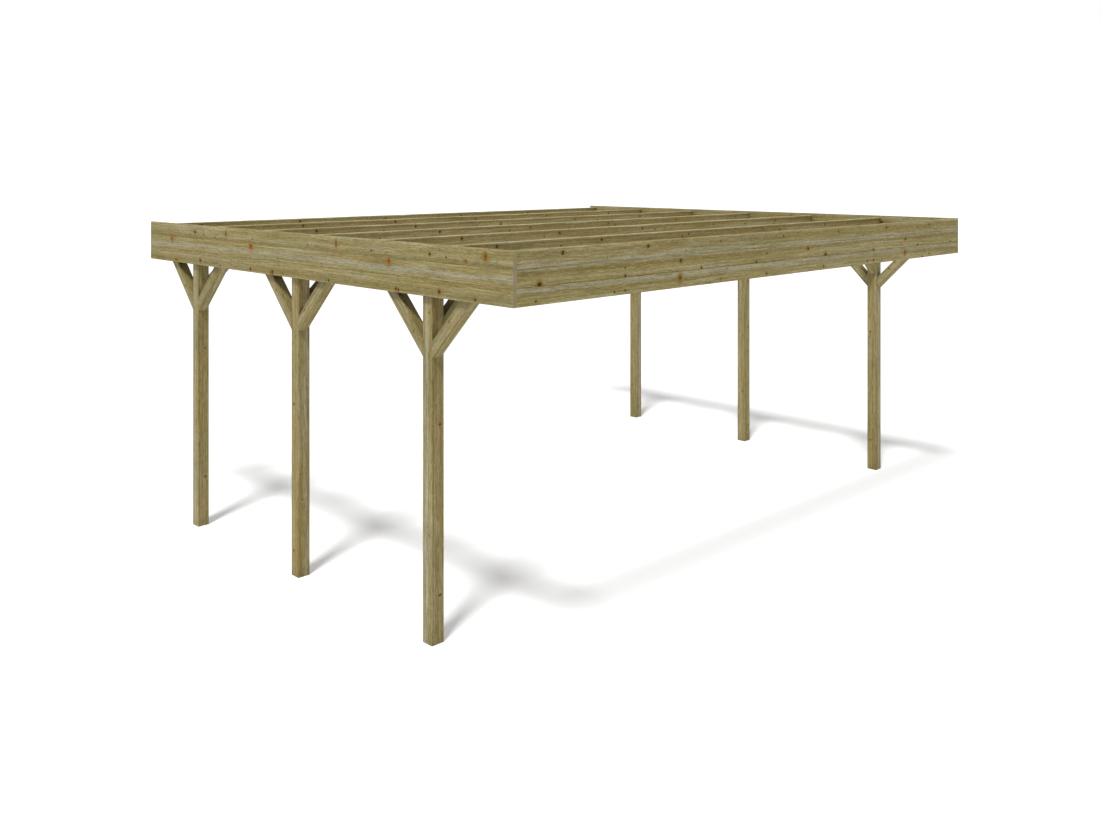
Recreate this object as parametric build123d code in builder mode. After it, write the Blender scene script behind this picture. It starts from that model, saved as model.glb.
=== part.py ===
from build123d import *
from math import cos, radians, sin, tan
import os

# Flat-roof double carport frame in pressure-treated softwood, shown before its roof sheets.
# Two rows of three posts carry one long beam each. Seven joists lie across both beams, and
# three tongued boards, one on top of the other, close the front and each side. The rear stays
# open for a gutter. Every post has three knee braces: two under its beam and one under a joist.
# Millimetres, Z up. X runs across the entrance and Y from the front to the rear.
# The origin is the middle of the footprint, at ground level.

# Overall
overall_width = 6000.0
overall_depth = 5000.0
overall_height = 2645.0

# Fascia boards
board_thickness = 28.0
board_cover = 115.0
board_edge_chamfer = 2.5
tongue_height = 9.0
tongue_thickness = 8.0
tongue_clearance = 0.5

# Posts
post_section = 100.0
post_spacing = 1645.0
post_shift_rearward = 14.0
post_rounding = 4.0

# Beams
beam_height = 150.0
beam_rounding = 3.0
frame_setback_at_rear = 70.0

# Joists
joist_thickness = 45.0
joist_height = 120.0
joist_drop_below_fascia = 21.0
joist_chamfer = 2.0

# Knee braces
brace_depth = 80.0
brace_width = 80.0
brace_reach = 460.0
brace_angle = 45.0
brace_rounding = 3.0

# Levels
joist_top = overall_height - joist_drop_below_fascia
joist_bottom = joist_top - joist_height
beam_bottom = joist_bottom - beam_height

# Places across the width
inner_face_x = overall_width / 2 - board_thickness
post_row_x = inner_face_x - post_section / 2
post_inner_x = inner_face_x - post_section

# Places along the depth
frame_front_y = -overall_depth / 2 + board_thickness
frame_rear_y = overall_depth / 2 - frame_setback_at_rear
post_places = {
    "front": post_shift_rearward - post_spacing,
    "middle": post_shift_rearward,
    "rear": post_shift_rearward + post_spacing,
}
sides = {"left": -1, "right": 1}

os.makedirs("parts", exist_ok=True)


def save(piece, name):
    """Label a finished piece and write its STEP file."""
    piece.part.label = name
    export_step(piece.part, f"parts/{name}.step")


# Posts: square, planed, with eased corners, cut flat under the beams
for side, sign in sides.items():
    for place, post_y in post_places.items():
        with BuildPart() as post:
            with BuildSketch(Plane.XY):
                with Locations((sign * post_row_x, post_y)):
                    RectangleRounded(post_section, post_section, post_rounding)
            extrude(amount=beam_bottom)
        save(post, f"post_{place}_{side}")

# Beams: one over each row of posts, from the front fascia to the rear joist
for side, sign in sides.items():
    with BuildPart() as beam:
        with BuildSketch(Plane.XZ.offset(-frame_front_y)):
            with Locations((sign * post_row_x, (joist_bottom + beam_bottom) / 2)):
                RectangleRounded(post_section, beam_height, beam_rounding)
        extrude(amount=frame_front_y - frame_rear_y)
    save(beam, f"beam_{side}")

# Joists: they lie on both beams. The first and the last close the frame, the others stand over
# the posts and midway between them, flush with the front faces of the posts.
post_front_y = post_places["front"] - post_section / 2
inner_joist_count = 5
joist_faces = [frame_front_y]
joist_faces += [post_front_y + i * post_spacing / 2 for i in range(inner_joist_count)]
joist_faces += [frame_rear_y - joist_thickness]
joist_names = ["front", "second", "third", "fourth", "fifth", "sixth", "rear"]
for joist_name, joist_face in zip(joist_names, joist_faces):
    with BuildPart() as joist:
        with BuildSketch(Plane.YZ.offset(-inner_face_x)):
            with Locations((joist_face + joist_thickness / 2, (joist_top + joist_bottom) / 2)):
                Rectangle(joist_thickness, joist_height)
        extrude(amount=2 * inner_face_x)
        chamfer(joist.edges().filter_by(Axis.X), joist_chamfer)
    save(joist, f"joist_{joist_name}")


# Knee braces: mitred to stand against a post and to bear flat under what they carry. They are
# narrower than the posts: those of a row lie flush with the outer faces of its posts, and the
# inward ones flush with the front faces.
def brace_corners(start, bearing, direction):
    """Corners of a brace that leaves a post face at start and rises to the level bearing."""
    lean = radians(brace_angle)
    toe = bearing - brace_reach * tan(lean)
    return [
        (start, toe),
        (start + direction * brace_reach, bearing),
        (start + direction * (brace_reach - brace_depth / sin(lean)), bearing),
        (start, toe + brace_depth / cos(lean)),
    ]


row_directions = {"forward": -1, "rearward": 1}
for side, sign in sides.items():
    outer_face_x = sign * (post_row_x + post_section / 2)
    for place, post_y in post_places.items():
        for heading, direction in row_directions.items():
            with BuildPart() as row_brace:
                with BuildSketch(Plane.YZ.offset(outer_face_x)):
                    with BuildLine():
                        face_y = post_y + direction * post_section / 2
                        Polyline(brace_corners(face_y, beam_bottom, direction), close=True)
                    make_face()
                extrude(amount=-sign * brace_width)
                long_edges = row_brace.edges().filter_by(lambda edge: edge.length > brace_reach)
                fillet(long_edges, brace_rounding)
            save(row_brace, f"brace_{place}_{side}_{heading}")

        with BuildPart() as inward_brace:
            with BuildSketch(Plane.XZ.offset(post_section / 2 - post_y)):
                with BuildLine():
                    Polyline(
                        brace_corners(sign * post_inner_x, joist_bottom, -sign), close=True
                    )
                make_face()
            extrude(amount=-brace_width)
            long_edges = inward_brace.edges().filter_by(lambda edge: edge.length > brace_reach)
            fillet(long_edges, brace_rounding)
        save(inward_brace, f"brace_{place}_{side}_inward")


# Fascia boards: a tongue on the upper edge enters the groove of the board above, and the
# outer edges are chamfered, so that each joint shows as a fine V
def board_corners(outer_face, inward, level, has_tongue, has_groove):
    """Corners of a board's section, from its outer face inwards, with its lower edge at level."""
    top = level + board_cover
    middle = board_thickness / 2
    tongue = tongue_thickness / 2
    groove = tongue + tongue_clearance
    corners = [
        (board_edge_chamfer, level),
        (0, level + board_edge_chamfer),
        (0, top - board_edge_chamfer),
        (board_edge_chamfer, top),
    ]
    if has_tongue:
        corners += [
            (middle - tongue, top),
            (middle - tongue, top + tongue_height),
            (middle + tongue, top + tongue_height),
            (middle + tongue, top),
        ]
    corners += [(board_thickness, top), (board_thickness, level)]
    if has_groove:
        roof = level + tongue_height + tongue_clearance
        corners += [
            (middle + groove, level),
            (middle + groove, roof),
            (middle - groove, roof),
            (middle - groove, level),
        ]
    return [(outer_face + inward * across, height) for across, height in corners]


board_names = ["lower", "middle", "upper"]
fascia_bottom = overall_height - len(board_names) * board_cover
for number, board_name in enumerate(board_names):
    board_level = fascia_bottom + number * board_cover
    has_tongue = number < len(board_names) - 1
    has_groove = number > 0

    for side, sign in sides.items():
        with BuildPart() as side_board:
            with BuildSketch(Plane.XZ.offset(overall_depth / 2)):
                with BuildLine():
                    Polyline(
                        board_corners(
                            sign * overall_width / 2, -sign, board_level, has_tongue, has_groove
                        ),
                        close=True,
                    )
                make_face()
            extrude(amount=-overall_depth)
        save(side_board, f"fascia_{side}_{board_name}")

    with BuildPart() as front_board:
        with BuildSketch(Plane.YZ.offset(-inner_face_x)):
            with BuildLine():
                Polyline(
                    board_corners(-overall_depth / 2, 1, board_level, has_tongue, has_groove),
                    close=True,
                )
            make_face()
        extrude(amount=2 * inner_face_x)
    save(front_board, f"fascia_front_{board_name}")
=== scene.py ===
"""Looks of a double carport frame in green pressure-treated softwood.

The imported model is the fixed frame. Each sub-assembly is a class that dresses its own timbers:
every timber gets a finish with its own seed, its own grain direction and its own knots. The
whole stands on a pale studio floor in soft light from the front left.
"""
import logging
import math
from dataclasses import dataclass, field
from enum import Enum
from typing import ClassVar, Union

import bpy
from mathutils import Matrix, Vector


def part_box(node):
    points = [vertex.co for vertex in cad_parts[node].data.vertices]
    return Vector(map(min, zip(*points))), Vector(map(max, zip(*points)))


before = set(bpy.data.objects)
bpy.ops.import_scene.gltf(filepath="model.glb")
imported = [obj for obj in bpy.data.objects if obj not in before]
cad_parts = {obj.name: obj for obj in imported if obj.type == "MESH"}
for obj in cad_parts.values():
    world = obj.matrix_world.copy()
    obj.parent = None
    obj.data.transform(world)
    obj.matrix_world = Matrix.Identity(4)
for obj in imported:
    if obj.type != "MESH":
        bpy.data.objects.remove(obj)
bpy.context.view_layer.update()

log = logging.getLogger("carport")
Colour = tuple[float, float, float, float]
Socket = bpy.types.NodeSocket
Value = Union[Socket, float, Colour]


def linear(red: int, green: int, blue: int) -> Colour:
    """Turn a display colour of 0 to 255 into the linear colour that a shader takes.

    Args:
        red: Red, 0 to 255.
        green: Green, 0 to 255.
        blue: Blue, 0 to 255.

    Returns:
        The linear colour, with alpha 1.
    """
    channels = []
    for value in (red, green, blue):
        share = value / 255
        channels.append(share / 12.92 if share <= 0.04045 else ((share + 0.055) / 1.055) ** 2.4)
    return (*channels, 1.0)


class Grain(Enum):
    """Direction of the grain of a timber, as the unit vector of its length."""

    ACROSS = (1.0, 0.0, 0.0)
    DEPTH = (0.0, 1.0, 0.0)
    UPRIGHT = (0.0, 0.0, 1.0)


class Face(Enum):
    """Direction across a timber in which a band or a knot is placed."""

    MAIN = 1
    SIDE = 2


DARK_KNOT = linear(60, 44, 8)
RED_KNOT = linear(156, 84, 18)
AMBER_KNOT = linear(132, 92, 16)
BROWN_KNOT = linear(92, 64, 14)
CHESTNUT_KNOT = linear(88, 50, 22)
KNOT_CORE = linear(52, 34, 4)
KNOT_HALO = linear(134, 102, 40)
KNOT_TAIL = linear(112, 92, 42)
WARM_PATCH = linear(152, 128, 74)
GREEN_PATCH = linear(140, 136, 86)
# Colour of the painted shade in corners between timbers.
PAINTED_SHADE_TONE = linear(36, 28, 8)
GREY_WOOD = linear(170, 168, 146)
SILVER_WOOD = linear(182, 178, 158)
PALE_WOOD = linear(180, 172, 130)
DARK_WOOD = linear(112, 98, 54)
ORANGE_WOOD = linear(150, 116, 62)
# Colour of the painted highlight along the upper edge of the joists.
PAINTED_TOP_HIGHLIGHT = linear(196, 188, 146)
JOINT_SHADE = linear(66, 54, 22)


@dataclass(frozen=True)
class Knots:
    """A row of knots along a timber, at even steps.

    Attributes:
        step: Distance from one knot to the next, in metres.
        start: Place of the first knot from the end of the timber.
        height: Place across the face, from the timber's middle.
        size: Width of a knot along the grain.
        tone: Colour of its heart.
        tall: Height of a knot as a share of its width.
        face: Direction in which the height is measured.
    """

    step: float
    start: float
    height: float
    size: float
    tone: Colour = DARK_KNOT
    tall: float = 1.0
    face: Face = Face.MAIN


@dataclass(frozen=True)
class Band:
    """A lengthwise band of sapwood or of dark late wood.

    Attributes:
        height: Place across the face, from the timber's middle, in metres.
        width: Half width, in metres.
        amount: Strength, 0 to 1.
        tone: Colour of the band.
        face: Direction in which the height is measured.
        wander: How far the band strays from its height, in metres.
    """

    height: float
    width: float
    amount: float
    tone: Colour = GREY_WOOD
    face: Face = Face.MAIN
    wander: float = 0.022


@dataclass(frozen=True)
class Cut:
    """How one timber was cut from its log.

    Attributes:
        heart: Place of the log's heart across and through the timber, in metres.
        heart_reach: Radius of the brown heartwood, in metres.
        heart_amount: Strength of the brown, 0 to 1.
        knots: Rows of knots.
        bands: Lengthwise bands.
    """

    heart: tuple[float, float] = (0.06, -0.07)
    heart_reach: float = 0.06
    heart_amount: float = 0.3
    knots: tuple[Knots, ...] = ()
    bands: tuple[Band, ...] = ()


@dataclass(frozen=True)
class Finish:
    """Look of one kind of timber.

    Attributes:
        name: Name of the finish, in plain words.
        pale: Colour of the early wood.
        body: Main colour.
        deep: Colour of the late wood and of dark streaks.
        heartwood: Colour near the log's heart.
        end_grain: Colour of a sawn end.
        wash: Greyish tint of the streaks where the salts dried pale.
        wash_amount: How much of the wash shows, 0 to 1.
        ring_width: Thickness of a growth ring, in metres.
        streak_contrast: Strength of the broad lengthwise streaks, 0 to 1.
        block_step: Distance between tone blocks along the timber, in metres.
        block_strength: Strength of the tone blocks, 0 to 1.
        roughness: Roughness of the planed surface.
        grime_amount: Strength of the painted shade in the corners between timbers, 0 to 1.
    """

    name: str
    pale: Colour = linear(170, 158, 114)
    body: Colour = linear(153, 141, 93)
    deep: Colour = linear(114, 98, 50)
    heartwood: Colour = linear(142, 118, 66)
    end_grain: Colour = linear(150, 136, 112)
    wash: Colour = linear(164, 164, 140)
    wash_amount: float = 0.4
    ring_width: float = 0.0065
    streak_contrast: float = 0.54
    block_step: float = 0.826
    block_strength: float = 0.04
    roughness: float = 0.74
    grime_amount: float = 0.6


@dataclass(frozen=True)
class Planed:
    """What all the planed and treated timbers share.

    Attributes:
        warm: Strength of the warm patches, 0 to 1.
        green: Strength of the green patches.
        dash: Strength of the short dark dashes.
        glint: Strength of the short pale dashes.
        late: Strength of the late wood's lines.
        sawn: Strength of the end grain's colour.
        edge: Strength of the paler eased edges.
        tail: Strength of the stained grain on both sides of a knot.
        halo: Strength of the warm halo of a knot.
        heart: Strength of a knot's colour.
        core: Strength of a knot's dark core.
        patch_swing: Change of brightness from patch to patch, as a share.
        fibre_swing: Change of brightness from fibre to fibre.
        speck_swing: Change of brightness from speck to speck.
        rough_swing: Change of roughness from fibre to fibre.
        heart_blur: Softness of the heartwood's edge, as a share of its radius.
        fibre_rise: Height of the fibres, as a share of the relief.
        late_rise: Height of the late wood's lines.
        dash_drop: Depth of the dark dashes.
        knot_drop: Depth of the knots.
        relief: Strength of the relief.
        relief_depth: Depth of the relief, in metres.
        gloss: Strength of the mirror reflection.
    """

    warm: float = 0.4
    green: float = 0.35
    dash: float = 0.6
    glint: float = 0.5
    late: float = 0.4
    sawn: float = 0.6
    edge: float = 0.35
    tail: float = 0.35
    halo: float = 0.6
    heart: float = 0.9
    core: float = 0.6
    patch_swing: float = 0.34
    fibre_swing: float = 0.2
    speck_swing: float = 0.3
    rough_swing: float = 0.14
    heart_blur: float = 0.3
    fibre_rise: float = 0.5
    late_rise: float = 0.6
    dash_drop: float = 0.4
    knot_drop: float = 0.4
    relief: float = 0.35
    relief_depth: float = 0.0015
    gloss: float = 0.12


PLANED = Planed()


@dataclass(frozen=True)
class Strand:
    """A lengthwise pattern of the wood.

    Attributes:
        name: Name of the pattern.
        along: Marks a metre along the grain.
        across: Marks a metre across the grain.
        detail: Steps of finer marks within it.
        roughness: Strength of the finer marks, 0 to 1.
    """

    name: str
    along: float
    across: float
    detail: float
    roughness: float


STRANDS = (
    Strand("Fibre", 7.0, 420.0, 2.0, 0.6),
    Strand("Streak", 3.0, 110.0, 3.0, 0.6),
    Strand("Band", 0.8, 30.0, 2.0, 0.5),
    Strand("Dash", 16.0, 135.0, 2.0, 0.55),
    Strand("Speck", 46.0, 180.0, 2.0, 0.6),
)


@dataclass(frozen=True)
class Mark:
    """How a pattern becomes a mask.

    Attributes:
        group: Key of the shared group that holds the pattern.
        source: Name of the pattern.
        low: Value of the pattern at which the mask is 0.
        high: Value at which it is 1.
    """

    group: str
    source: str
    low: float
    high: float


MARKS = {
    "streak": Mark("fibres", "Streak", 0.36, 0.64),
    "band": Mark("fibres", "Band", 0.38, 0.62),
    "dash": Mark("fibres", "Dash", 0.53, 0.70),
    "glint": Mark("fibres", "Dash", 0.47, 0.30),
    "speck": Mark("fibres", "Speck", 0.3, 0.7),
    "fibre": Mark("fibres", "Fibre", 0.32, 0.68),
    "warm": Mark("blocks", "Patch", 0.50, 0.66),
    "green": Mark("blocks", "Patch", 0.48, 0.34),
}


class Nodes:
    """Small helper that adds and joins shader nodes in one tree."""

    def __init__(self, tree: bpy.types.NodeTree) -> None:
        """Take the tree of a material, a world or a node group to work in."""
        self.tree = tree

    def add(self, kind: str, **settings: object) -> bpy.types.Node:
        """Add a node.

        Args:
            kind: Type name of the node.
            settings: Properties of the node, by name.

        Returns:
            The new node.
        """
        node = self.tree.nodes.new(kind)
        for key, value in settings.items():
            setattr(node, key, value)
        return node

    def join(self, source: Socket, target: Socket) -> None:
        """Link an output to an input."""
        self.tree.links.new(source, target)

    def put(self, socket: Socket, value: Value) -> None:
        """Link a socket, or set it where the value is plain.

        Args:
            socket: Input to feed.
            value: Output to link, or a plain value.
        """
        if isinstance(value, Socket):
            self.join(value, socket)
        else:
            socket.default_value = value

    def math(self, operation: str, *values: Value) -> Socket:
        """Add a Math node.

        Args:
            operation: Name of the operation.
            values: Its inputs, in order.

        Returns:
            The result.
        """
        node = self.add("ShaderNodeMath", operation=operation)
        for socket, value in zip(node.inputs, values):
            self.put(socket, value)
        return node.outputs[0]

    def length(self, x: Value, y: Value) -> Socket:
        """Return how far a place in a plane is from its origin."""
        squares = self.math("MULTIPLY", x, x), self.math("MULTIPLY", y, y)
        return self.math("SQRT", self.math("ADD", *squares))

    def swing(self, value: Socket, amount: float, middle: float = 1.0) -> Socket:
        """Return a level that a value of 0 to 1 moves by an amount around a middle."""
        return self.math("MULTIPLY_ADD", value, amount, middle - amount / 2)

    def split(self, vector: Socket) -> tuple[Socket, ...]:
        """Split a vector.

        Args:
            vector: Vector to split.

        Returns:
            Its three parts.
        """
        node = self.add("ShaderNodeSeparateXYZ")
        self.join(vector, node.inputs[0])
        return tuple(node.outputs)

    def combine(self, x: Value, y: Value, z: Value) -> Socket:
        """Make a vector of three values.

        Args:
            x: First part.
            y: Second part.
            z: Third part.

        Returns:
            The vector.
        """
        node = self.add("ShaderNodeCombineXYZ")
        for socket, value in zip(node.inputs, (x, y, z)):
            self.put(socket, value)
        return node.outputs[0]

    def noise(self, vector: Socket, scale: float, detail: float = 2.0,
              roughness: float = 0.55) -> Socket:
        """Add a Noise Texture.

        Args:
            vector: Place at which it is read.
            scale: Marks a unit of length.
            detail: Steps of finer marks.
            roughness: Strength of the finer marks, 0 to 1.

        Returns:
            A value of about 0.5 on average.
        """
        node = self.add("ShaderNodeTexNoise", noise_dimensions="3D")
        self.join(vector, node.inputs["Vector"])
        node.inputs["Scale"].default_value = scale
        node.inputs["Detail"].default_value = detail
        node.inputs["Roughness"].default_value = roughness
        return node.outputs[0]

    def remap(self, value: Socket, low: float, high: float, to_low: float = 0.0,
              to_high: float = 1.0) -> Socket:
        """Map a range of values to another, smoothly and clamped.

        Args:
            value: Value to map.
            low: Value that becomes to_low.
            high: Value that becomes to_high.
            to_low: Result at low.
            to_high: Result at high.

        Returns:
            The result.
        """
        node = self.add("ShaderNodeMapRange", interpolation_type="SMOOTHSTEP")
        self.join(value, node.inputs["Value"])
        node.inputs["From Min"].default_value = low
        node.inputs["From Max"].default_value = high
        node.inputs["To Min"].default_value = to_low
        node.inputs["To Max"].default_value = to_high
        return node.outputs["Result"]

    def blend(self, amount: Value, first: Value, second: Value, mode: str = "MIX") -> Socket:
        """Mix two colours.

        Args:
            amount: Share of the second colour.
            first: First colour.
            second: Second colour.
            mode: Name of the way in which they mix.

        Returns:
            The mixed colour.
        """
        node = self.add("ShaderNodeMix", data_type="RGBA", blend_type=mode)
        self.put(node.inputs["Factor"], amount)
        self.put(node.inputs[6], first)
        self.put(node.inputs[7], second)
        return node.outputs[2]

    def layer(self, colour: Value, mask: Socket, amount: float, tone: Colour) -> Socket:
        """Lay a tone over a colour, as strongly as the amount says, where a mask shows it."""
        return self.blend(self.math("MULTIPLY", mask, amount), colour, tone)


class Group(Nodes):
    """A shader node group with named inputs and outputs."""

    def __init__(self, name: str) -> None:
        """Make an empty group.

        Args:
            name: Name of the group.
        """
        super().__init__(bpy.data.node_groups.new(name, "ShaderNodeTree"))
        self.entry = self.add("NodeGroupInput")
        self.exit = self.add("NodeGroupOutput")

    def takes(self, name: str, kind: str = "NodeSocketFloat", default: float = 0.0) -> Socket:
        """Add an input.

        Args:
            name: Name of the input.
            kind: Type name of its socket.
            default: Value of a number where nothing is linked.

        Returns:
            The input, as a socket inside the group.
        """
        item = self.tree.interface.new_socket(name, in_out="INPUT", socket_type=kind)
        if kind == "NodeSocketFloat":
            item.default_value = default
        return self.entry.outputs[name]

    def place(self) -> Socket:
        """Add the input for the place along, across and through the timber."""
        return self.takes("Place", "NodeSocketVector")

    def gives(self, name: str, value: Socket) -> None:
        """Add an output that carries a number."""
        self.tree.interface.new_socket(name, in_out="OUTPUT", socket_type="NodeSocketFloat")
        self.join(value, self.exit.inputs[name])


def growth_group() -> bpy.types.NodeTree:
    """Build the growth rings, seen as long streaks on faces and as arcs on end grain.

    Returns:
        The node group.
    """
    drift_pace, drift_scale = 0.55, 1.7
    drift_across, drift_through = 0.09, -0.06
    wander_pace, wander_scale, wander_reach = 0.06, 26.0, 0.012
    late_start, late_power = 0.88, 2.2

    group = Group("growth_rings")
    place = group.place()
    bend = group.takes("Bend")
    width = group.takes("Ring Width", default=0.005)
    seed = group.takes("Seed")
    heart_across = group.takes("Heart Across")
    heart_through = group.takes("Heart Through")
    along, across, through = group.split(place)
    slow = group.combine(group.math("MULTIPLY", along, drift_pace), across, seed)
    drift = group.math("SUBTRACT", group.noise(slow, drift_scale), 0.5)
    quick = group.combine(group.math("MULTIPLY", along, wander_pace), across, through)
    wander = group.noise(quick, wander_scale, detail=3.0)
    heart_y = group.math("MULTIPLY_ADD", drift, drift_across, heart_across)
    heart_z = group.math("MULTIPLY_ADD", drift, drift_through, heart_through)
    side_y = group.math("SUBTRACT", group.math("ADD", across, bend), heart_y)
    side_z = group.math("SUBTRACT", through, heart_z)
    reach = group.math("MULTIPLY_ADD", wander, wander_reach, group.length(side_y, side_z))
    turn = group.math("FRACT", group.math("DIVIDE", reach, width))
    late = group.math("MULTIPLY", turn, group.remap(turn, late_start, 1.0, 1.0, 0.0))
    group.gives("Late Wood", group.math("POWER", late, late_power))
    group.gives("Reach", reach)
    return group.tree


def fibre_group() -> bpy.types.NodeTree:
    """Build the fine fibres and the broad streaks that run along the grain.

    Returns:
        The node group.
    """
    group = Group("fibres_and_streaks")
    place = group.place()
    bend = group.takes("Bend")
    seed = group.takes("Seed")
    along, across, through = group.split(place)
    shifted = group.math("ADD", across, bend)
    for strand in STRANDS:
        drawn = group.combine(group.math("MULTIPLY_ADD", along, strand.along, seed),
                              group.math("MULTIPLY", shifted, strand.across),
                              group.math("MULTIPLY", through, strand.across))
        group.gives(strand.name, group.noise(drawn, 1.0, strand.detail, strand.roughness))
    return group.tree


def knot_group() -> bpy.types.NodeTree:
    """Build a row of knots: dark hearts, warm halos and the grain that bends around them.

    Returns:
        The node group.
    """
    row_salt, height_jitter, size_jitter = 91.0, 0.008, 0.6
    ragged_scale, ragged_depth = 90.0, 0.018
    heart_edge, core_edge, halo_edge = (0.36, 0.60), (0.08, 0.40), (0.45, 1.5)
    tail_pace, tail_thinness, tail_edge = 0.16, 2.2, (0.1, 0.6)
    push_share = -0.55

    group = Group("row_of_knots")
    place = group.place()
    step = group.takes("Step", default=0.8)
    start = group.takes("Start")
    height = group.takes("Height")
    size = group.takes("Size", default=0.025)
    tall = group.takes("Tall", default=1.0)
    along, across, _ = group.split(place)
    slid = group.math("SUBTRACT", along, start)
    count = group.math("ROUND", group.math("DIVIDE", slid, step))
    shake = group.add("ShaderNodeTexWhiteNoise", noise_dimensions="2D")
    group.join(group.combine(count, group.math("MULTIPLY", height, row_salt), 0.0),
               shake.inputs["Vector"])
    spread = group.math("SUBTRACT", shake.outputs["Value"], 0.5)
    near_x = group.math("SUBTRACT", slid, group.math("MULTIPLY", count, step))
    near_y = group.math("SUBTRACT", across,
                        group.math("MULTIPLY_ADD", spread, height_jitter, height))
    upright = group.math("DIVIDE", near_y, tall)
    ragged = group.math("SUBTRACT", group.noise(place, ragged_scale), 0.5)
    worn = group.math("MULTIPLY", ragged, ragged_depth)

    gap = group.math("DIVIDE", group.math("ADD", group.length(near_x, upright), worn), size)
    gap = group.math("DIVIDE", gap, group.math("MULTIPLY_ADD", spread, size_jitter, 1.0))
    halo = group.remap(gap, *halo_edge, 1.0, 0.0)
    tail = group.length(group.math("MULTIPLY", near_x, tail_pace),
                        group.math("MULTIPLY", upright, tail_thinness))
    tail = group.math("DIVIDE", group.math("ADD", tail, worn), size)
    outward = group.math("MULTIPLY", halo, group.math("SIGN", near_y))
    group.gives("Heart", group.remap(gap, *heart_edge, 1.0, 0.0))
    group.gives("Core", group.remap(gap, *core_edge, 1.0, 0.0))
    group.gives("Tail", group.remap(tail, *tail_edge, 1.0, 0.0))
    group.gives("Halo", group.math("MULTIPLY", halo, halo))
    group.gives("Bend", group.math("MULTIPLY", outward, group.math("MULTIPLY", size, push_share)))
    return group.tree


def band_group() -> bpy.types.NodeTree:
    """Build the mask of a lengthwise band with wavering, fibrous edges.

    Returns:
        The node group.
    """
    wave_pace, fray_pace, fray_fineness, fray_depth = 0.9, 4.0, 260.0, 1.1
    soft_edge = (0.35, 1.25)

    group = Group("lengthwise_band")
    place = group.place()
    height = group.takes("Height")
    width = group.takes("Width", default=0.01)
    wander = group.takes("Wander", default=0.022)
    seed = group.takes("Seed")
    along, across, through = group.split(place)
    wave = group.noise(group.combine(group.math("MULTIPLY_ADD", along, wave_pace, seed), seed, 0.0),
                       1.0, detail=3.0)
    fray = group.noise(group.combine(group.math("MULTIPLY_ADD", along, fray_pace, seed),
                                     group.math("MULTIPLY", across, fray_fineness),
                                     group.math("MULTIPLY", through, fray_fineness)), 1.0)
    away = group.math("MULTIPLY_ADD", group.math("SUBTRACT", wave, 0.5), wander,
                      group.math("SUBTRACT", across, height))
    away = group.math("DIVIDE", group.math("ABSOLUTE", away), width)
    away = group.math("MULTIPLY_ADD", group.math("SUBTRACT", fray, 0.5), fray_depth, away)
    group.gives("Mask", group.remap(away, *soft_edge, 1.0, 0.0))
    return group.tree


def block_group() -> bpy.types.NodeTree:
    """Build stretches of slightly different tone along a timber, and soft patches.

    Returns:
        The node group.
    """
    seed_shift, cells, turn_salt = 0.37, 4.0, 0.02
    patch_pace, patch_fineness = 2.6, 9.0

    group = Group("tone_blocks")
    place = group.place()
    step = group.takes("Step", default=0.8)
    seed = group.takes("Seed")
    along, across, _ = group.split(place)
    fold = group.math("DIVIDE", group.math("MULTIPLY_ADD", seed, seed_shift, along), step)
    cell = group.math("FLOOR", group.math("MULTIPLY", group.math("FRACT", fold), cells))
    turn = group.math("MULTIPLY", group.math("FLOOR", fold), turn_salt)
    tone = group.add("ShaderNodeTexWhiteNoise", noise_dimensions="3D")
    group.join(group.combine(cell, seed, turn), tone.inputs["Vector"])
    calm = group.combine(group.math("MULTIPLY", along, patch_pace),
                         group.math("MULTIPLY", across, patch_fineness), seed)
    group.gives("Block", tone.outputs["Value"])
    group.gives("Patch", group.noise(calm, 1.0))
    return group.tree


def wear_and_shade_group() -> bpy.types.NodeTree:
    """Build masks of the eased edges, broken up along the timber, and of painted shade in corners.

    Returns:
        The node group.
    """
    edge_meet, break_scale, break_edge = (0.80, 0.99), 14.0, (0.35, 0.65)
    corner_edge = (0.2, 0.6)
    edge_rays, corner_rays = 4, 6

    group = Group("eased_edges_and_painted_shade")
    width = group.takes("Width", default=0.004)
    place = group.place()
    reach = group.takes("Reach", default=0.3)
    rounded = group.add("ShaderNodeBevel", samples=edge_rays)
    group.join(width, rounded.inputs["Radius"])
    flat = group.add("ShaderNodeNewGeometry")
    meet = group.add("ShaderNodeVectorMath", operation="DOT_PRODUCT")
    group.join(rounded.outputs["Normal"], meet.inputs[0])
    group.join(flat.outputs["Normal"], meet.inputs[1])
    edge = group.remap(meet.outputs["Value"], *edge_meet, 1.0, 0.0)
    broken = group.remap(group.noise(place, break_scale, detail=3.0), *break_edge)
    # Ambient occlusion for painted shade: the colour darkens where nearby timbers keep light away.
    open_air = group.add("ShaderNodeAmbientOcclusion", samples=corner_rays)
    group.join(reach, open_air.inputs["Distance"])
    group.gives("Edge", group.math("MULTIPLY", edge, broken))
    group.gives("Painted Shade", group.remap(open_air.outputs["AO"], *corner_edge, 1.0, 0.0))
    return group.tree


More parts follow.
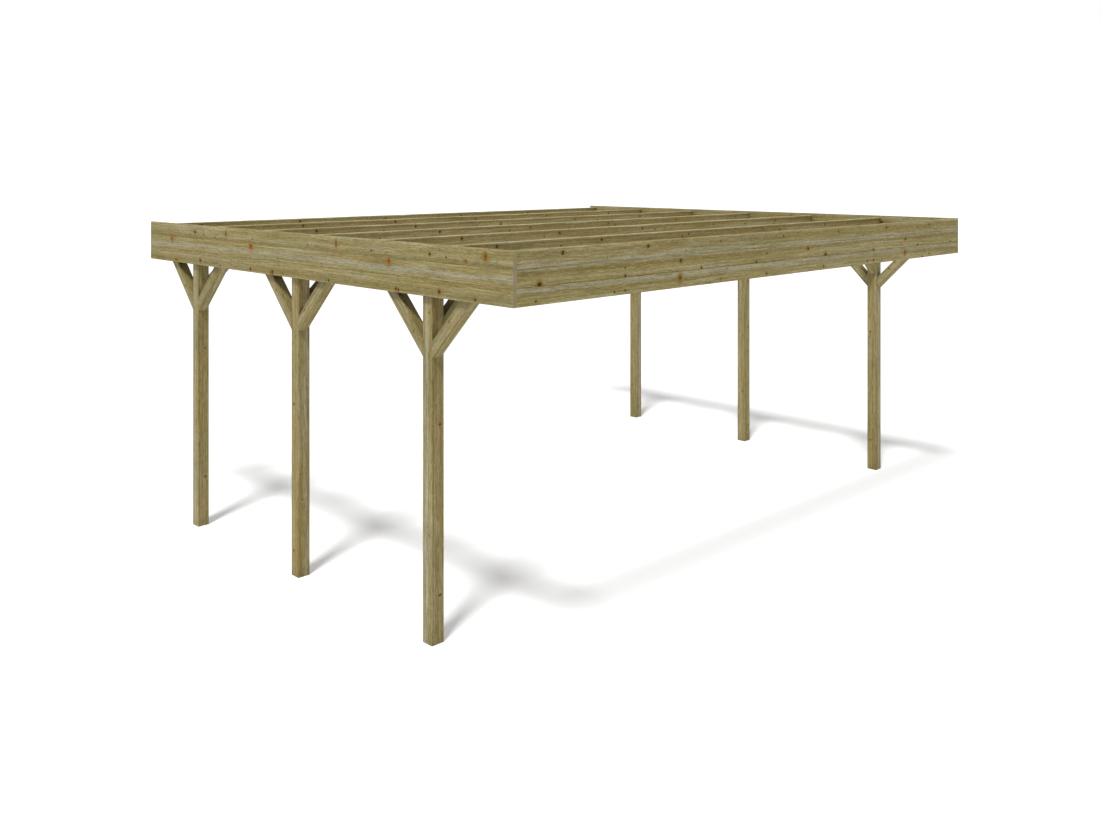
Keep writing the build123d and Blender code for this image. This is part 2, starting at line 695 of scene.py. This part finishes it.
@dataclass
class Timber:
    """One timber, whose material comes from a finish, a direction and its cut.

    Attributes:
        groups: The shared node groups, by key.
        fibre_seed_factor: Seed of the fibres, as a share of the timber's.
        band_seed_step: Step of the seed from band to band.
        end_meet: Share of the normal along the grain where a sawn end begins and is whole.
        node: Name of the CAD node.
        finish: Its finish.
        run: Unit vector along the timber.
        up: Unit vector across its main face.
        seed: Number that sets this timber apart from the others.
        cut: How it was cut from its log.
        lift: Distance from the middle of the node's box to the timber's axis, along up.
    """

    groups: ClassVar[dict[str, bpy.types.NodeTree]] = {}
    fibre_seed_factor: ClassVar[float] = 3.1
    band_seed_step: ClassVar[float] = 7.0
    end_meet: ClassVar[tuple[float, float]] = (0.8, 0.95)
    node: str
    finish: Finish
    run: Vector
    up: Vector
    seed: float
    cut: Cut
    lift: float = 0.0

    @classmethod
    def prepare(cls) -> None:
        """Build the shared node groups once."""
        cls.groups = {
            "growth": growth_group(),
            "fibres": fibre_group(),
            "knots": knot_group(),
            "blocks": block_group(),
            "bands": band_group(),
            "wear_and_shade": wear_and_shade_group(),
        }

    def use(self, nodes: Nodes, name: str, **values: Value) -> bpy.types.Node:
        """Place one of the shared groups with its own values.

        Args:
            nodes: Tree to place it in.
            name: Key of the group.
            values: Input values or sockets, by input name with _ for a space.

        Returns:
            The group's node.
        """
        node = nodes.add("ShaderNodeGroup", node_tree=self.groups[name])
        for key, value in values.items():
            nodes.put(node.inputs[key.replace("_", " ")], value)
        return node

    def place(self, nodes: Nodes) -> Socket:
        """Turn Object coordinates so that X runs along the grain and Y across the main face.

        Args:
            nodes: Tree to work in.

        Returns:
            The place along, across and through the timber, from its end.
        """
        low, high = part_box(self.node)
        side = self.run.cross(self.up)
        turn = Matrix((self.run, self.up, side)).transposed()
        middle = (low + high) / 2
        half = sum(abs(self.run[i]) * (high[i] - low[i]) / 2 for i in range(3))
        coordinates = nodes.add("ShaderNodeTexCoord")
        mapping = nodes.add("ShaderNodeMapping", vector_type="TEXTURE")
        nodes.join(coordinates.outputs["Object"], mapping.inputs["Vector"])
        mapping.inputs["Location"].default_value = middle - self.run * half + self.up * self.lift
        mapping.inputs["Rotation"].default_value = turn.to_euler()
        return mapping.outputs["Vector"]

    def facing(self, nodes: Nodes, place: Socket, face: Face) -> Socket:
        """Turn the place so that the wanted direction across is its Y.

        Args:
            nodes: Tree to work in.
            place: Place along, across and through the timber.
            face: Direction that becomes Y.

        Returns:
            The place, with Y and Z swapped for the side face.
        """
        if face is Face.MAIN:
            return place
        along, across, through = nodes.split(place)
        return nodes.combine(along, through, across)

    def sawn_end(self, nodes: Nodes) -> Socket:
        """Find the sawn ends, whose normal runs along the timber.

        Args:
            nodes: Tree to work in.

        Returns:
            A mask of the ends.
        """
        coordinates = nodes.add("ShaderNodeTexCoord")
        meet = nodes.add("ShaderNodeVectorMath", operation="DOT_PRODUCT")
        nodes.join(coordinates.outputs["Normal"], meet.inputs[0])
        meet.inputs[1].default_value = self.run
        return nodes.remap(nodes.math("ABSOLUTE", meet.outputs["Value"]), *self.end_meet)

    def knot_rows(self, nodes: Nodes, place: Socket) -> list[tuple[Knots, bpy.types.Node]]:
        """Place the rows of knots.

        Args:
            nodes: Tree to work in.
            place: Place along, across and through the timber.

        Returns:
            Each row with its node.
        """
        rows = []
        for row in self.cut.knots:
            seen = self.facing(nodes, place, row.face)
            rows.append((row, self.use(nodes, "knots", Place=seen, Step=row.step, Start=row.start,
                                       Height=row.height, Size=row.size, Tall=row.tall)))
        return rows

    def wood(self, nodes: Nodes, place: Socket, bend: Value) -> dict[str, Socket]:
        """Read the wood's patterns (rings, fibres, patches, edges and sawn ends) and the painted
        shade in corners.

        Args:
            nodes: Tree to work in.
            place: Place along, across and through the timber.
            bend: How far the knots push the grain of the main face.

        Returns:
            Masks and values, by name.
        """
        across, through = self.cut.heart
        rings = self.use(nodes, "growth", Place=place, Bend=bend, Seed=self.seed,
                         Ring_Width=self.finish.ring_width, Heart_Across=across,
                         Heart_Through=through)
        wear_and_shade = self.use(nodes, "wear_and_shade", Place=place)
        read = {
            "fibres": self.use(nodes, "fibres", Place=place, Bend=bend,
                               Seed=self.seed * self.fibre_seed_factor),
            "blocks": self.use(nodes, "blocks", Place=place, Seed=self.seed,
                               Step=self.finish.block_step),
        }
        found = {name: nodes.remap(read[mark.group].outputs[mark.source], mark.low, mark.high)
                 for name, mark in MARKS.items()}
        blur = PLANED.heart_blur
        found["heart"] = nodes.remap(rings.outputs["Reach"], self.cut.heart_reach * (1 - blur),
                                     self.cut.heart_reach * (1 + blur), 1.0, 0.0)
        found["late"] = rings.outputs["Late Wood"]
        found["block"] = read["blocks"].outputs["Block"]
        found["patch"] = read["blocks"].outputs["Patch"]
        found["edge"] = wear_and_shade.outputs["Edge"]
        found["grime"] = wear_and_shade.outputs["Painted Shade"]
        found["sawn"] = self.sawn_end(nodes)
        return found

    def stained(self, nodes: Nodes, wood: dict[str, Socket]) -> Socket:
        """Mix the early wood, the heartwood and the tints of the treatment.

        Args:
            nodes: Tree to work in.
            wood: Masks and values of the wood.

        Returns:
            The colour before bands and grain.
        """
        look = self.finish
        colour = nodes.blend(wood["band"], look.body, look.pale)
        colour = nodes.layer(colour, wood["heart"], self.cut.heart_amount, look.heartwood)
        colour = nodes.layer(colour, wood["warm"], PLANED.warm, WARM_PATCH)
        colour = nodes.layer(colour, wood["green"], PLANED.green, GREEN_PATCH)
        washed = nodes.math("MULTIPLY", wood["streak"], wood["band"])
        return nodes.layer(colour, washed, look.wash_amount, look.wash)

    def banded(self, nodes: Nodes, place: Socket, colour: Socket) -> Socket:
        """Lay the timber's own lengthwise bands over a colour.

        Args:
            nodes: Tree to work in.
            place: Place along, across and through the timber.
            colour: Colour below.

        Returns:
            The colour with the bands.
        """
        for number, band in enumerate(self.cut.bands):
            mask = self.use(nodes, "bands", Place=self.facing(nodes, place, band.face),
                            Height=band.height, Width=band.width, Wander=band.wander,
                            Seed=self.seed + self.band_seed_step * number)
            colour = nodes.layer(colour, mask.outputs["Mask"], band.amount, band.tone)
        return colour

    def grained(self, nodes: Nodes, wood: dict[str, Socket], colour: Socket) -> Socket:
        """Lay streaks, dashes and late wood over a colour and vary its brightness.

        Args:
            nodes: Tree to work in.
            wood: Masks and values of the wood.
            colour: Colour below.

        Returns:
            The colour with its grain, its sawn ends and its eased edges.
        """
        look = self.finish
        between = nodes.math("SUBTRACT", 1.0, wood["streak"])
        colour = nodes.layer(colour, between, look.streak_contrast, look.deep)
        colour = nodes.layer(colour, wood["dash"], PLANED.dash, look.deep)
        colour = nodes.layer(colour, wood["glint"], PLANED.glint, look.pale)
        colour = nodes.layer(colour, wood["late"], PLANED.late, look.deep)
        coarse = nodes.math("MULTIPLY", nodes.swing(wood["block"], look.block_strength),
                            nodes.swing(wood["patch"], PLANED.patch_swing))
        fine = nodes.math("MULTIPLY", nodes.swing(wood["fibre"], PLANED.fibre_swing),
                          nodes.swing(wood["speck"], PLANED.speck_swing))
        level = nodes.math("MULTIPLY", coarse, fine)
        colour = nodes.blend(1.0, colour, nodes.combine(level, level, level), "MULTIPLY")
        colour = nodes.layer(colour, wood["sawn"], PLANED.sawn, look.end_grain)
        return nodes.layer(colour, wood["edge"], PLANED.edge, look.pale)

    def material(self) -> bpy.types.Material:
        """Build the material.

        Returns:
            A material with colour, roughness and relief from its nodes.
        """
        material = bpy.data.materials.new(f"{self.finish.name}_{self.node}")
        material.use_nodes = True
        nodes = Nodes(material.node_tree)
        shader = material.node_tree.nodes["Principled BSDF"]
        place = self.place(nodes)
        rows = self.knot_rows(nodes, place)
        bend = 0.0
        for row, knot in rows:
            if row.face is Face.MAIN:
                bend = nodes.math("ADD", bend, knot.outputs["Bend"])
        wood = self.wood(nodes, place, bend)

        colour = self.banded(nodes, place, self.stained(nodes, wood))
        colour = self.grained(nodes, wood, colour)
        height = nodes.math("MULTIPLY", wood["late"], PLANED.late_rise)
        height = nodes.math("MULTIPLY_ADD", wood["fibre"], PLANED.fibre_rise, height)
        height = nodes.math("MULTIPLY_ADD", wood["dash"], -PLANED.dash_drop, height)
        for row, knot in rows:
            colour = nodes.layer(colour, knot.outputs["Tail"], PLANED.tail, KNOT_TAIL)
            colour = nodes.layer(colour, knot.outputs["Halo"], PLANED.halo, KNOT_HALO)
            colour = nodes.layer(colour, knot.outputs["Heart"], PLANED.heart, row.tone)
            colour = nodes.layer(colour, knot.outputs["Core"], PLANED.core, KNOT_CORE)
            height = nodes.math("MULTIPLY_ADD", knot.outputs["Heart"], -PLANED.knot_drop, height)
        # Painted shade: darkens the colour in corners and under the roof, where shade falls.
        colour = nodes.layer(colour, wood["grime"], self.finish.grime_amount, PAINTED_SHADE_TONE)
        nodes.join(colour, shader.inputs["Base Color"])

        rough = nodes.swing(wood["fibre"], PLANED.rough_swing, self.finish.roughness)
        nodes.join(rough, shader.inputs["Roughness"])
        shader.inputs["Specular IOR Level"].default_value = PLANED.gloss
        bump = nodes.add("ShaderNodeBump")
        bump.inputs["Strength"].default_value = PLANED.relief
        bump.inputs["Distance"].default_value = PLANED.relief_depth
        nodes.join(height, bump.inputs["Height"])
        nodes.join(bump.outputs["Normal"], shader.inputs["Normal"])
        return material

    def dress(self) -> None:
        """Give the CAD node its material."""
        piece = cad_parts[self.node]
        piece.data.materials.clear()
        piece.data.materials.append(self.material())
        log.info("dressed %s as %s", self.node, self.finish.name)


@dataclass
class Fascia:
    """Three boards on top of each other on the front and on both sides.

    Attributes:
        finish: Finish of the side boards.
        front_painted_light_finish: Finish of the front boards, a little paler as painted light,
            which lifts the front face that the lamp lights less.
        step: Distance after which a board's knots come again, in metres.
        first_seed: Seed of the first board.
        side_seed_step: Step of the seed from side to side.
        level_seed_step: Step of the seed from level to level.
    """

    finish: Finish = Finish("fascia_board")
    # Painted light: a paler copy of the fascia finish for the less lit front boards.
    front_painted_light_finish: Finish = Finish("fascia_board", pale=linear(178, 166, 122),
                                  body=linear(160, 147, 96), deep=linear(118, 102, 54))
    step: float = 0.826
    first_seed: float = 0.5
    side_seed_step: float = 3.7
    level_seed_step: float = 1.3

    def front_cuts(self) -> dict[str, Cut]:
        """Say how the three front boards were cut.

        Returns:
            Their cuts, by level.
        """
        half, twice, long = self.step / 2, self.step * 2, self.step * 4
        first_knot = 0.396
        upper = Cut(
            knots=(Knots(self.step, first_knot, 0.022, 0.022),
                   Knots(self.step, first_knot + half, -0.03, 0.008)),
            bands=(Band(0.050, 0.009, 0.55, PALE_WOOD),
                   Band(-0.046, 0.014, 0.8),
                   Band(0.015, 0.028, 0.3, DARK_WOOD)))
        middle = Cut(
            knots=(Knots(twice, 1.576, 0.013, 0.030, CHESTNUT_KNOT),
                   Knots(long, 0.191, -0.055, 0.028, RED_KNOT, 1.2),
                   Knots(long, 0.986, -0.052, 0.022),
                   Knots(long, 1.812, -0.050, 0.020),
                   Knots(long, 2.500, -0.052, 0.022),
                   Knots(twice, 0.986, 0.0, 0.011),
                   Knots(long, 3.495, -0.056, 0.030)),
            bands=(Band(0.046, 0.008, 0.6),
                   Band(0.022, 0.016, 0.5, DARK_WOOD),
                   Band(-0.030, 0.012, 0.35, PALE_WOOD),
                   Band(-0.061, 0.005, 0.5, DARK_WOOD),
                   Band(-0.062, 0.0025, 0.7, JOINT_SHADE, wander=0.0)))
        lower = Cut(
            knots=(Knots(long, 1.568, 0.004, 0.034, AMBER_KNOT, 1.2),
                   Knots(long, 0.160, -0.032, 0.020),
                   Knots(long, 0.879, -0.032, 0.018),
                   Knots(long, 0.986, -0.032, 0.020),
                   Knots(long, 2.048, -0.032, 0.018),
                   Knots(long, 2.638, -0.034, 0.020),
                   Knots(long, 1.910, -0.057, 0.020)),
            bands=(Band(0.032, 0.016, 0.85),
                   Band(-0.001, 0.012, 0.3, DARK_WOOD),
                   Band(-0.045, 0.010, 0.25, PALE_WOOD),
                   Band(0.0565, 0.0025, 0.8, JOINT_SHADE, wander=0.0)))
        return {"upper": upper, "middle": middle, "lower": lower}

    def side_cuts(self) -> dict[str, Cut]:
        """Say how the three boards of a side were cut.

        Returns:
            Their cuts, by level.
        """
        twice, long = self.step * 2, self.step * 4
        upper = Cut(
            knots=(Knots(twice, 0.253, 0.006, 0.026, AMBER_KNOT, 1.9),
                   Knots(long, 0.808, -0.005, 0.026),
                   Knots(self.step, 0.638, -0.022, 0.011),
                   Knots(long, 0.442, -0.030, 0.016, AMBER_KNOT, 1.6)),
            bands=(Band(0.046, 0.016, 0.6, PALE_WOOD),
                   Band(-0.046, 0.012, 0.5, DARK_WOOD)))
        middle = Cut(
            knots=(Knots(long, 1.259, 0.028, 0.032, RED_KNOT, 1.4),
                   Knots(long, 3.140, 0.030, 0.034, RED_KNOT, 1.3),
                   Knots(long, 2.1, -0.04, 0.012)),
            bands=(Band(0.042, 0.008, 0.4, PALE_WOOD),
                   Band(-0.014, 0.024, 0.75),
                   Band(0.058, 0.006, 0.5, DARK_WOOD)))
        lower = Cut(
            knots=(Knots(long, 0.710, -0.022, 0.026, BROWN_KNOT, 1.1),
                   Knots(self.step, 0.351, -0.042, 0.018),
                   Knots(twice, 1.150, -0.040, 0.020, DARK_KNOT, 1.2),
                   Knots(long, 3.150, -0.034, 0.026, DARK_KNOT, 1.1)),
            bands=(Band(0.014, 0.010, 0.35, PALE_WOOD),
                   Band(-0.026, 0.026, 0.35, DARK_WOOD)))
        return {"upper": upper, "middle": middle, "lower": lower}

    def dress(self) -> None:
        """Dress the nine boards."""
        up = Vector(Grain.UPRIGHT.value)
        sides = {
            "front": (Grain.ACROSS, self.front_cuts(), self.front_painted_light_finish),
            "left": (Grain.DEPTH, self.side_cuts(), self.finish),
            "right": (Grain.DEPTH, self.side_cuts(), self.finish),
        }
        for number, (side, (grain, cuts, finish)) in enumerate(sides.items()):
            seed = self.first_seed + self.side_seed_step * number
            for place, (level, cut) in enumerate(cuts.items()):
                Timber(f"fascia_{side}_{level}", finish, Vector(grain.value), up,
                       seed + self.level_seed_step * place, cut).dress()


@dataclass(frozen=True)
class PostGrain:
    """Streaks that tell one post from the next.

    Attributes:
        pale: Strength of the pale streak, 0 to 1.
        pale_face: Direction in which its place is measured.
        warm: Strength of the warm streak, 0 to 1.
        warm_face: Direction in which its place is measured.
    """

    pale: float
    pale_face: Face
    warm: float
    warm_face: Face


POST_GRAINS = {
    "front_left": PostGrain(0.9, Face.SIDE, 0.15, Face.MAIN),
    "middle_left": PostGrain(0.45, Face.MAIN, 0.5, Face.SIDE),
    "rear_left": PostGrain(0.75, Face.SIDE, 0.15, Face.MAIN),
    "front_right": PostGrain(0.9, Face.MAIN, 0.6, Face.SIDE),
    "middle_right": PostGrain(0.6, Face.SIDE, 0.3, Face.MAIN),
    "rear_right": PostGrain(0.7, Face.MAIN, 0.2, Face.SIDE),
}


@dataclass
class Rows:
    """The posts, their beams and their knee braces, on both sides.

    Attributes:
        post_finish: Finish of the posts.
        brace_finish: Finish of the knee braces.
        beam_finish: Finish of the beams.
        brace_depth: Depth of a brace, from its lower to its upper face, in metres.
        first_seed: Seed of the first beam.
        post_seed_step: Step of the seed to the next post.
        brace_seed_step: Step of the seed from a post to its braces.
        heading_seed_step: Step of the seed from brace to brace.
    """

    post_finish: Finish = Finish("post_timber", ring_width=0.009, pale=linear(178, 166, 122),
                                 body=linear(158, 145, 94))
    # The braces get stronger painted shade, which darkens their upper faces under the roof.
    brace_finish: Finish = Finish("brace_timber", ring_width=0.008, grime_amount=0.8)
    beam_finish: Finish = Finish("beam_timber")
    brace_depth: float = 0.08
    first_seed: float = 20.0
    post_seed_step: float = 1.9
    brace_seed_step: float = 0.7
    heading_seed_step: float = 0.83

    def post_cut(self, post: str, sign: int, seed: float) -> Cut:
        """Say how a post was cut, with its heart to the front or, on the right, to the left.

        Args:
            post: Place and side of the post.
            sign: -1 on the left and 1 on the right.
            seed: The post's seed.

        Returns:
            The cut, with a pale and a warm streak.
        """
        heart = (0.02, -0.07) if sign < 0 else (-0.07, 0.03)
        grain = POST_GRAINS[post]
        first_knot, knot_shift, shifts, second_knot = 0.15, 0.09, 4, 0.4
        start = first_knot + knot_shift * (seed % shifts)
        return Cut(
            heart=heart, heart_reach=0.075, heart_amount=0.35,
            knots=(Knots(1.13, start, 0.016, 0.014, DARK_KNOT, 1.2, grain.warm_face),
                   Knots(1.47, start + second_knot, -0.022, 0.011, AMBER_KNOT, 1.0,
                         grain.pale_face)),
            bands=(Band(0.008, 0.020, grain.pale, SILVER_WOOD, grain.pale_face),
                   Band(-0.012, 0.010, grain.warm, ORANGE_WOOD, grain.warm_face),
                   Band(-0.040, 0.006, 0.35, DARK_WOOD, grain.warm_face)))

    def brace_cut(self, sign: int, seed: float, number: int) -> Cut:
        """Say how a brace was cut.

        Args:
            sign: -1 on the left and 1 on the right.
            seed: Seed of the post's first brace.
            number: Number of the brace at its post, from 0.

        Returns:
            The cut, with one dim knot and a grey streak.
        """
        first_knot, knot_spread, knot_turn = 0.12, 0.31, 0.6
        knot_height, height_step = 0.014, -0.016
        start = first_knot + knot_spread * ((seed + knot_turn * number) % 1.0)
        return Cut(
            heart=(0.05, 0.05 * sign),
            knots=(Knots(0.9, start, knot_height + height_step * number, 0.0095, KNOT_TAIL, 1.3),),
            bands=(Band(0.004, 0.013, 0.55, wander=0.014),
                   Band(-0.026, 0.008, 0.4, PALE_WOOD),
                   Band(0.026, 0.006, 0.35, DARK_WOOD)))

    def braces(self, place: str, side: str, sign: int, seed: float) -> None:
        """Dress the three braces of a post.

        Args:
            place: Place of the post.
            side: Side of the post.
            sign: -1 on the left and 1 on the right.
            seed: Seed of the first of them.
        """
        lean = math.sqrt(0.5)
        runs = {
            "forward": (Vector((0, -lean, lean)), Vector((0, lean, lean))),
            "rearward": (Vector((0, lean, lean)), Vector((0, -lean, lean))),
            "inward": (Vector((-sign * lean, 0, lean)), Vector((sign * lean, 0, lean))),
        }
        for number, (heading, (run, up)) in enumerate(runs.items()):
            Timber(f"brace_{place}_{side}_{heading}", self.brace_finish, run, up,
                   seed + self.heading_seed_step * number, self.brace_cut(sign, seed, number),
                   self.brace_depth / 2).dress()

    def dress(self) -> None:
        """Dress the posts, beams and braces."""
        along = Vector(Grain.DEPTH.value)
        across = Vector(Grain.ACROSS.value)
        up = Vector(Grain.UPRIGHT.value)
        seed = self.first_seed
        for side, sign in (("left", -1), ("right", 1)):
            Timber(f"beam_{side}", self.beam_finish, along, up, seed, Cut()).dress()
            for place in ("front", "middle", "rear"):
                seed += self.post_seed_step
                Timber(f"post_{place}_{side}", self.post_finish, up, across, seed,
                       self.post_cut(f"{place}_{side}", sign, seed)).dress()
                seed += self.brace_seed_step
                self.braces(place, side, sign, seed)


@dataclass
class Roof:
    """The seven joists across the frame.

    Attributes:
        finish: Finish of the joists.
        places: Their places, from the front to the rear.
        first_seed: Seed of the first joist.
        seed_step: Step of the seed to the next joist.
    """

    finish: Finish = Finish("joist_timber", body=linear(144, 130, 84))
    places: tuple[str, ...] = ("front", "second", "third", "fourth", "fifth", "sixth", "rear")
    first_seed: float = 60.0
    seed_step: float = 2.3

    def cut(self, number: int) -> Cut:
        """Say how a joist was cut.

        Args:
            number: Number of the joist from the front, from 0.

        Returns:
            The cut, with a painted highlight along the upper edge, a painted shade line below it
            and a warm stretch of its own strength.
        """
        first_knot, knot_turn = 0.2, 0.37
        second_share, second_shift = 1.7, 0.23
        least_warmth, warmth_step, warmths = 0.12, 0.14, 3
        start = first_knot + (knot_turn * number) % 1.0
        warmth = least_warmth + warmth_step * (number % warmths)
        return Cut(
            knots=(Knots(1.07, start, 0.030, 0.019),
                   Knots(1.43, second_share * start + second_shift, 0.010, 0.013)),
            # Painted highlight: a bright band at the upper edge stands for the lit top face.
            bands=(Band(0.060, 0.007, 1.0, PAINTED_TOP_HIGHLIGHT, wander=0.003),
                   Band(0.020, 0.016, warmth, ORANGE_WOOD, wander=0.07),
                   # Painted shade: a dark line just below the painted highlight.
                   Band(0.042, 0.009, 0.65, DARK_WOOD, wander=0.008)))

    def dress(self) -> None:
        """Dress the joists."""
        across = Vector(Grain.ACROSS.value)
        up = Vector(Grain.UPRIGHT.value)
        for number, place in enumerate(self.places):
            Timber(f"joist_{place}", self.finish, across, up,
                   self.first_seed + self.seed_step * number, self.cut(number)).dress()


@dataclass
class Studio:
    """Floor, light and camera.

    Attributes:
        floor_size: Side of the floor, in metres.
        floor_white: Brightness of the floor's matte colour, 0 to 1.
        floor_glow: Light that the floor adds where it is looked at, which keeps it white.
        sun_from: Where the light comes from, as a direction.
        sun_strength: Strength of the sun lamp.
        sun_spread: Angle of the lamp, which softens the shadows.
        sky_strength: Strength of the even light from all around.
        camera_place: Place of the camera, in metres.
        camera_heading: Direction in which it looks, clockwise from the depth of the carport.
        lens: Focal length, in millimetres.
        shift_across: Shift of the picture across, as a share of its width.
        shift_up: Shift of the picture upwards, as a share of its width.
        far: Distance up to which the camera sees, in metres.
    """

    floor_size: float = 120.0
    floor_white: float = 0.86
    floor_glow: float = 0.24
    sun_from: Vector = field(default_factory=lambda: Vector((-1.2, -0.6, 2.47)))
    sun_strength: float = 2.9
    sun_spread: float = math.radians(10.0)
    sky_strength: float = 0.32
    camera_place: tuple[float, float, float] = (-7.344, -7.231, 3.143)
    camera_heading: float = math.radians(44.554)
    lens: float = 34.99
    shift_across: float = -0.0005
    shift_up: float = -0.2222
    far: float = 200.0

    def build(self) -> None:
        """Build the studio."""
        self.floor()
        self.lamp()
        self.sky()
        self.camera()

    def seen(self, nodes: Nodes) -> Socket:
        """Find the rays of the camera, of a gloss and of a glass.

        Args:
            nodes: Tree to work in.

        Returns:
            A mask that is 1 for those rays.
        """
        path = nodes.add("ShaderNodeLightPath")
        mask = nodes.math("MAXIMUM", path.outputs["Is Camera Ray"], path.outputs["Is Glossy Ray"])
        return nodes.math("MAXIMUM", mask, path.outputs["Is Transmission Ray"])

    def floor(self) -> None:
        """Build the pale floor, which keeps the shadows and looks white to the camera."""
        bpy.ops.object.select_all(action="DESELECT")
        bpy.ops.mesh.primitive_plane_add(size=self.floor_size, location=(0, 0, 0))
        floor = bpy.context.object
        floor.name = "studio_floor"
        bpy.ops.object.transform_apply(location=True, rotation=True, scale=True)
        material = bpy.data.materials.new("studio_floor")
        material.use_nodes = True
        nodes = Nodes(material.node_tree)
        material.node_tree.nodes.clear()
        matte = nodes.add("ShaderNodeBsdfDiffuse")
        white = self.floor_white
        matte.inputs["Color"].default_value = (white, white, white, 1.0)
        glow = nodes.add("ShaderNodeEmission")
        nodes.put(glow.inputs["Strength"],
                  nodes.math("MULTIPLY", self.seen(nodes), self.floor_glow))
        both = nodes.add("ShaderNodeAddShader")
        nodes.join(matte.outputs[0], both.inputs[0])
        nodes.join(glow.outputs[0], both.inputs[1])
        out = nodes.add("ShaderNodeOutputMaterial")
        nodes.join(both.outputs[0], out.inputs["Surface"])
        floor.data.materials.append(material)

    def lamp(self) -> None:
        """Add the soft main light from the front left."""
        data = bpy.data.lights.new("key", "SUN")
        data.energy = self.sun_strength
        data.angle = self.sun_spread
        lamp = bpy.data.objects.new("key", data)
        bpy.context.scene.collection.objects.link(lamp)
        lamp.rotation_euler = self.sun_from.to_track_quat("Z", "Y").to_euler()

    def sky(self) -> None:
        """Set the even light, white where the camera or a gloss sees it."""
        world = bpy.data.worlds.new("studio")
        bpy.context.scene.world = world
        world.use_nodes = True
        nodes = Nodes(world.node_tree)
        back = world.node_tree.nodes["Background"]
        back.inputs["Color"].default_value = (1.0, 1.0, 1.0, 1.0)
        nodes.put(back.inputs["Strength"],
                  nodes.math("MULTIPLY_ADD", self.seen(nodes), 1.0 - self.sky_strength,
                             self.sky_strength))

    def camera(self) -> None:
        """Add the camera at the photo's place, level and with its picture shifted down."""
        data = bpy.data.cameras.new("camera")
        data.lens = self.lens
        data.shift_x = self.shift_across
        data.shift_y = self.shift_up
        data.clip_end = self.far
        camera = bpy.data.objects.new("camera", data)
        bpy.context.scene.collection.objects.link(camera)
        camera.location = self.camera_place
        camera.rotation_euler = (math.pi / 2, 0, -self.camera_heading)
        bpy.context.scene.camera = camera
        bpy.context.scene.view_settings.view_transform = "Standard"


def main() -> None:
    """Dress the carport and build the studio."""
    logging.basicConfig(level=logging.INFO, format="%(message)s")
    Timber.prepare()
    for part in (Fascia(), Rows(), Roof()):
        part.dress()
    Studio().build()


if __name__ == "__main__":
    main()
